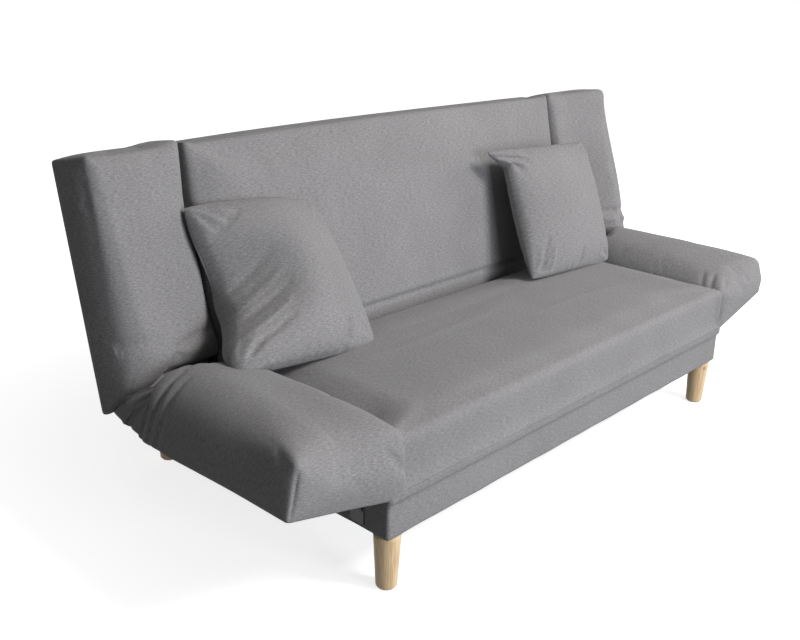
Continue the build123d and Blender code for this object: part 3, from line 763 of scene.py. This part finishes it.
def threads(tree, spot, direction):
    """Wave across the cloth's pattern, one period a thread. A wave's period is 0.314 over its scale."""
    inputs = {"Vector": spot, "Scale": 0.314 / THREAD_WIDTH}
    return add(tree, "ShaderNodeTexWave", {"bands_direction": direction}, inputs).outputs["Fac"]


def melange_cloth(name, dark, mid, light):
    """Woven melange polyester: grey yarns of several tones in a plain weave. Slubs show as short streaks
    along the weft and the warp, single dark and light fibres as specks, and wide clouds shade it a
    little. The weave is two crossed waves, and fuzz gives a soft sheen at grazing angles."""
    material, tree = new_material(name)
    spot = add(tree, "ShaderNodeUVMap", {"uv_map": PATTERN}, {}).outputs["UV"]
    # Slubs are about 11 mm by 1.9 mm in the weft and 7 mm by 2.2 mm in the warp, and specks 3 mm wide
    weft = grains(tree, spot, 0.011, 0.0019)
    warp = grains(tree, spot, 0.0022, 0.007)
    speck = grains(tree, spot, 0.003, 0.003)
    yarn = add_share(tree, weft, 0.55, 0.0)
    yarn = add_share(tree, warp, 0.25, yarn)
    yarn = add_share(tree, speck, 0.20, yarn)
    place = add(tree, "ShaderNodeTexCoord", {}, {}).outputs["Object"]
    wide = {"Vector": place, "Scale": 1 / 0.12, "Detail": 3.0}
    cloud = add(tree, "ShaderNodeTexNoise", {}, wide).outputs["Fac"]
    yarn = add_share(tree, cloud, 0.14, yarn)
    yarn = add(tree, "ShaderNodeMath", {"operation": "SUBTRACT"}, {0: yarn, 1: 0.07}).outputs[0]
    colour = ramp(tree, yarn, ((0.34, dark), (0.50, mid), (0.68, light)))
    crossed = {0: threads(tree, spot, "X"), 1: threads(tree, spot, "Y")}
    weave = add(tree, "ShaderNodeMath", {"operation": "MULTIPLY"}, crossed).outputs[0]
    height = add_share(tree, weave, 0.3, yarn)
    relief = {"Height": height, "Strength": 0.5, "Distance": 0.0012}
    bump = add(tree, "ShaderNodeBump", {}, relief).outputs[0]
    shader = add(tree, "ShaderNodeBsdfPrincipled", {}, {
        "Base Color": colour, "Roughness": 0.92, "Specular IOR Level": 0.22, "Normal": bump,
        "Sheen Weight": 0.22, "Sheen Roughness": 0.45, "Sheen Tint": linear("#d8d8dc"),
    })
    close(tree, shader.outputs[0])
    return material


def plain_material(name, colour, roughness, metallic, grain, relief):
    """Simple finish with a fine mottle: a noise of the given grain size shades the colour and roughens the
    light."""
    material, tree = new_material(name)
    place = add(tree, "ShaderNodeTexCoord", {}, {}).outputs["Object"]
    mottle = {"Vector": place, "Scale": 1 / grain, "Detail": 4.0}
    noise = add(tree, "ShaderNodeTexNoise", {}, mottle).outputs["Fac"]
    shade = add(tree, "ShaderNodeMapRange", {}, {"Value": noise, "To Min": 0.75, "To Max": 1.2}).outputs[0]
    tone = add(tree, "ShaderNodeMix", {"data_type": "RGBA", "blend_type": "MULTIPLY"}, {
        "Factor": 1.0, 6: linear(colour), 7: shade}).outputs[2]
    bump = add(tree, "ShaderNodeBump", {}, {"Height": noise, "Strength": 0.4, "Distance": relief}).outputs[0]
    shader = add(tree, "ShaderNodeBsdfPrincipled", {}, {
        "Base Color": tone, "Roughness": roughness, "Metallic": metallic, "Normal": bump})
    close(tree, shader.outputs[0])
    return material


def pine_wood(name, dark, light, along):
    """Lacquered pine, turned or sawn: growth rings run with the grain, with a few small brown knots."""
    material, tree = new_material(name)
    place = add(tree, "ShaderNodeTexCoord", {}, {}).outputs["Object"]
    stretch = [1 / 0.004] * 3
    stretch[along] = 1 / 0.09
    grain = add(tree, "ShaderNodeMapping", {}, {"Vector": place, "Scale": stretch}).outputs[0]
    rings = add(tree, "ShaderNodeTexNoise", {}, {"Vector": grain, "Scale": 1.0, "Detail": 3.0}).outputs["Fac"]
    wood = ramp(tree, rings, ((0.30, dark), (0.62, light)))
    knot = add(tree, "ShaderNodeTexVoronoi", {}, {"Vector": place, "Scale": 1 / 0.055}).outputs["Distance"]
    eye = add(tree, "ShaderNodeMapRange", {}, {"Value": knot, "From Min": 0.05, "From Max": 0.16}).outputs[0]
    colour = add(tree, "ShaderNodeMix", {"data_type": "RGBA"}, {
        "Factor": eye, 6: linear("#8a5a34"), 7: wood}).outputs[2]
    bump = add(tree, "ShaderNodeBump", {}, {"Height": rings, "Strength": 0.25, "Distance": 0.0006}).outputs[0]
    shader = add(tree, "ShaderNodeBsdfPrincipled", {}, {
        "Base Color": colour, "Roughness": 0.45, "Normal": bump})
    close(tree, shader.outputs[0])
    return material


finishes = {
    "upholstery": melange_cloth("woven_melange_polyester", "#7b7a7a", "#8d8c8c", "#a09f9f"),
    "foam": plain_material("polyurethane_foam", "#e6dcb4", 0.95, 0.0, 0.004, 0.001),
    "dust_cloth": plain_material("spunbond_cloth", "#26262a", 0.95, 0.0, 0.002, 0.0004),
    "leg_wood": pine_wood("lacquered_pine", "#d3ae7d", "#ead2a8", 2),
    "frame_wood": pine_wood("sawn_pine", "#b58a58", "#d9b987", 0),
    "hinge_steel": plain_material("black_powder_coat", "#1d1e20", 0.5, 0.0, 0.0015, 0.0002),
    "fastener_steel": plain_material("black_oxide_steel", "#3a3b3e", 0.4, 1.0, 0.003, 0.0001),
    "glide_plastic": plain_material("nylon", "#d8d6cf", 0.5, 0.0, 0.004, 0.0001),
    "rubber": plain_material("black_rubber", "#1b1b1c", 0.8, 0.0, 0.002, 0.0002),
}


def dress(thing, slot):
    """Give a new piece the finish of one of the record's slots."""
    thing.data.materials.clear()
    thing.data.materials.append(finishes[slot])


# Skirt and legs
def skirt():
    """Cloth skirt round the base: a profile, tucked in behind the seat pad at the front and turned under
    at the hem, carried round a rectangle with small round corners, with a slight wave."""
    corner = 0.006
    low = skirt_low[:2] + corner
    high = skirt_high[:2] - corner
    turn = np.linspace(0, np.pi / 2, 6)
    path = []
    corners = ((np.pi, low), (1.5 * np.pi, (high[0], low[1])), (0.0, high), (0.5 * np.pi, (low[0], high[1])))
    for start, middle in corners:
        ring = np.stack([np.cos(start + turn), np.sin(start + turn)], 1)
        path.append(np.concatenate([np.array(middle) + corner * ring, ring], 1))
    rounds = np.concatenate(path)
    closed = np.concatenate([rounds, rounds[:1]])
    length = np.concatenate([[0], np.cumsum(np.linalg.norm(np.diff(closed[:, :2], axis=0), axis=1))])
    spots = np.unique(np.concatenate([length[:-1], np.arange(0, length[-1], 0.012)]))
    around = np.stack([np.interp(spots, length, closed[:, k]) for k in range(4)], 1)
    top, bottom = skirt_high[2], skirt_low[2]
    tucked = [(0.0072, top + 0.016), (0.0072, top + 0.002), (0.0060, top - 0.003), (0.0020, top - 0.007)]
    hanging = [(0.0, z) for z in np.linspace(top - 0.012, bottom + 0.006, 9)]
    hem = [(0.0, bottom + 0.001), (-0.002, bottom - 0.001), (-0.020, bottom - 0.001)]
    profile = np.array(tucked + hanging + hem)
    run = np.concatenate([[0], np.cumsum(np.linalg.norm(np.diff(profile, axis=0), axis=1))])
    reach, height = profile.T
    level = (top - height) / (top - bottom)
    wave = 0.0004 * (2 + np.sin(spots[:, None] * 23.0 + 2.0 * level) + np.sin(spots[:, None] * 51.0))
    facing = 0.1 + 0.9 * np.clip(-around[:, 3:], 0, 1)
    flare = np.where(reach > 0, facing, 1.0)
    out = reach * flare + wave * np.clip(level, 0, 1) * (reach > -0.002)
    points = np.empty((len(spots), len(profile), 3))
    points[:, :, :2] = around[:, None, :2] + out[:, :, None] * around[:, None, 2:]
    points[:, :, 2] = np.where(height > top, top + (height - top) * facing, height)
    return grid_piece("skirt", points, spots, -run, closed_loop=True, flip=True)


def turned_leg(name):
    """Turned leg: a profile, tapered to a foot with a rounded edge, carried round the leg's axis."""
    low, high = (np.array(corner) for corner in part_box(name))
    middle = (low + high) / 2
    top = (high[0] - low[0]) / 2
    foot = top - 0.006
    base = 0.002
    edge = 0.004
    bend = np.linspace(0, np.pi / 2, 6)
    taper = np.linspace(foot, top, 12)[1:]
    climb = np.linspace(base + edge, high[2], 12)[1:]
    radius = np.concatenate([[0.001], foot - edge + edge * np.sin(bend), taper, [0.001]])
    height = np.concatenate([[base], base + edge - edge * np.cos(bend), climb, [high[2]]])
    angle = np.linspace(0, 2 * np.pi, 48, endpoint=False)
    points = np.empty((len(angle), len(radius), 3))
    points[:, :, 0] = middle[0] + radius * np.cos(angle)[:, None]
    points[:, :, 1] = middle[1] + radius * np.sin(angle)[:, None]
    points[:, :, 2] = height
    return grid_piece(name + "_turned", points, angle * top, height, closed_loop=True, flip=True)


# Floor, light and camera
def seen_directly(tree, kinds):
    """1 for rays from the camera and of these kinds, and 0 for rays that only carry light between
    things."""
    path = add(tree, "ShaderNodeLightPath", {}, {})
    seen = path.outputs["Is Camera Ray"]
    for kind in kinds:
        both = {0: seen, 1: path.outputs[kind]}
        seen = add(tree, "ShaderNodeMath", {"operation": "MAXIMUM"}, both).outputs[0]
    return seen


def pale_floor():
    """Floor that glows white to the camera, a little less near the sofa, and is matt grey to everything
    else, so that it throws little light back."""
    material, tree = new_material("pale_floor")
    seen = seen_directly(tree, ("Is Glossy Ray", "Is Transmission Ray"))
    matt = add(tree, "ShaderNodeBsdfDiffuse", {}, {"Color": linear("#7d7d7d")}).outputs[0]
    pale = add(tree, "ShaderNodeBsdfDiffuse", {}, {"Color": linear("#e0e0e0")}).outputs[0]
    place = add(tree, "ShaderNodeTexCoord", {}, {}).outputs["Object"]
    away = add(tree, "ShaderNodeVectorMath", {"operation": "LENGTH"}, {0: place}).outputs["Value"]
    strength = add(tree, "ShaderNodeMapRange", {}, {
        "Value": away, "From Min": 0.8, "From Max": 1.9, "To Min": 0.78, "To Max": 1.0}).outputs[0]
    white = {"Color": linear("#ffffff"), "Strength": strength}
    glow = add(tree, "ShaderNodeEmission", {}, white).outputs[0]
    bright = add(tree, "ShaderNodeAddShader", {}, {0: pale, 1: glow}).outputs[0]
    close(tree, add(tree, "ShaderNodeMixShader", {}, {0: seen, 1: matt, 2: bright}).outputs[0])
    reach = np.linspace(-40.0, 40.0, 9)
    spots = np.stack([*np.meshgrid(reach, reach, indexing="ij"), np.zeros((9, 9))], -1)
    floor = grid_piece("floor", spots, reach, reach, flip=True)
    floor.data.materials.append(material)


def studio():
    """White sky that lights only a little, a large lamp high at the front right, a lower one in front,
    and a weak one from the right."""
    world = bpy.data.worlds.new("studio")
    bpy.context.scene.world = world
    world.use_nodes = True
    sky = world.node_tree
    sky.nodes.clear()
    seen = seen_directly(sky, ("Is Glossy Ray",))
    strength = add(sky, "ShaderNodeMapRange", {}, {"Value": seen, "To Min": 0.14, "To Max": 1.0}).outputs[0]
    white = {"Color": linear("#ffffff"), "Strength": strength}
    light = add(sky, "ShaderNodeBackground", {}, white).outputs[0]
    add(sky, "ShaderNodeOutputWorld", {}, {"Surface": light})

    lamp("window", (0.85, -3.0, 3.05), (0.0, 0.0, 0.4), 1.2, 122.0, "#fffcfa")
    lamp("front", (-0.3, -4.0, 1.0), (0.0, 0.0, 0.4), 1.4, 66.0, "#eceffb")
    lamp("side", (3.2, -1.2, 1.9), (0.2, 0.0, 0.4), 1.2, 26.0, "#ffffff")


def lamp(name, place, target, size, power, colour):
    """Square area light at a place, turned to a target."""
    data = bpy.data.lights.new(name, "AREA")
    data.size = size
    data.energy = power
    data.color = linear(colour)[:3]
    thing = bpy.data.objects.new(name, data)
    thing.location = place
    aim = Vector(target) - thing.location
    thing.rotation_euler = aim.to_track_quat("-Z", "Y").to_euler()
    bpy.context.scene.collection.objects.link(thing)


def camera():
    """Camera where the photograph was taken from, turned by azimuth and elevation and rolled a little."""
    azimuth, elevation, roll = (math.radians(a) for a in (CAMERA_AZIMUTH, CAMERA_ELEVATION, CAMERA_ROLL))
    right = np.array((math.cos(azimuth), math.sin(azimuth), 0.0))
    back = np.array((math.sin(azimuth) * math.cos(elevation), -math.cos(azimuth) * math.cos(elevation),
                     math.sin(elevation)))
    up = np.cross(back, right)
    turn = Matrix(np.stack([math.cos(roll) * right + math.sin(roll) * up,
                            math.cos(roll) * up - math.sin(roll) * right, back], 1).tolist())
    data = bpy.data.cameras.new("camera")
    data.lens = CAMERA_LENS
    data.sensor_width = CAMERA_SENSOR
    thing = bpy.data.objects.new("camera", data)
    thing.matrix_world = Matrix.Translation(CAMERA_PLACE) @ turn.to_4x4()
    bpy.context.scene.collection.objects.link(thing)
    bpy.context.scene.camera = thing


def upholster(thing, levels, marks, place, side):
    """Divide a swollen pad finely, press its wrinkles in, set it down in its place and give it its
    cloth."""
    refine(thing, levels)
    press(thing, marks)
    set_down(thing, place, side)
    dress(thing, "upholstery")


def main():
    """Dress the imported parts, make the soft pieces, the skirt and the legs, and set up floor, light and
    camera."""
    bpy.context.scene.view_settings.view_transform = "Standard"
    for subpart in frame["record"]["subparts"]:
        node = frame["nodes"][subpart["node"]]
        node.data.materials.clear()
        node.data.materials.append(finishes[subpart["material_slot"]])

    seat = seat_blank()
    back = back_blank()
    arms = {side: arm_blank(side) for side in SIDES}
    wings = {side: wing_blank(side) for side in SIDES}
    pillows = {side: pillow_blank(side) for side in SIDES}
    pads = [(seat, 30.0, 0.010), (back, 30.0, 0.010)]
    pads += [(thing, 20.0, 0.012) for thing in arms.values()]
    pads += [(thing, 20.0, 0.005) for thing in wings.values()]
    blow_up(pads)

    upholster(seat, 1, SEAT_MARKS, in_seat, "right")
    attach(seat, "base")
    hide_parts("seat_cover", "seat_foam")

    upholster(back, 1, BACK_MARKS, in_back, "right")
    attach(back, "backrest")
    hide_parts("back_cover", "back_foam")

    for side in SIDES:
        arm = arms[side]
        upholster(arm, 2, ARM_MARKS[side], in_arm, side)
        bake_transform(arm)
        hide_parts(side + "_arm_cover", side + "_arm_foam")
        wing = wings[side]
        upholster(wing, 2, WING_MARKS[side], in_wing, side)
        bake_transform(wing)
        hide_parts(side + "_wing_cover", side + "_wing_foam")
        pillow = pillows[side]
        refine(pillow, 1)
        press(pillow, PILLOW_MARKS[side])
        lay_pillow(pillow, side)
        dress(pillow, "upholstery")
        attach(pillow, side + "_pillow")
        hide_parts(side + "_pillow_cover", side + "_pillow_filling")
    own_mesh(pillows["left"])

    for side in SIDES:
        gusset(side)
    hem = skirt()
    dress(hem, "upholstery")
    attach(hem, "base")
    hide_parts("skirt_cover")
    for name in ("front_left_leg", "front_right_leg", "rear_left_leg", "rear_right_leg"):
        leg = turned_leg(name)
        dress(leg, "leg_wood")
        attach(leg, "base")
        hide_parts(name)
    pale_floor()
    studio()
    camera()


main()
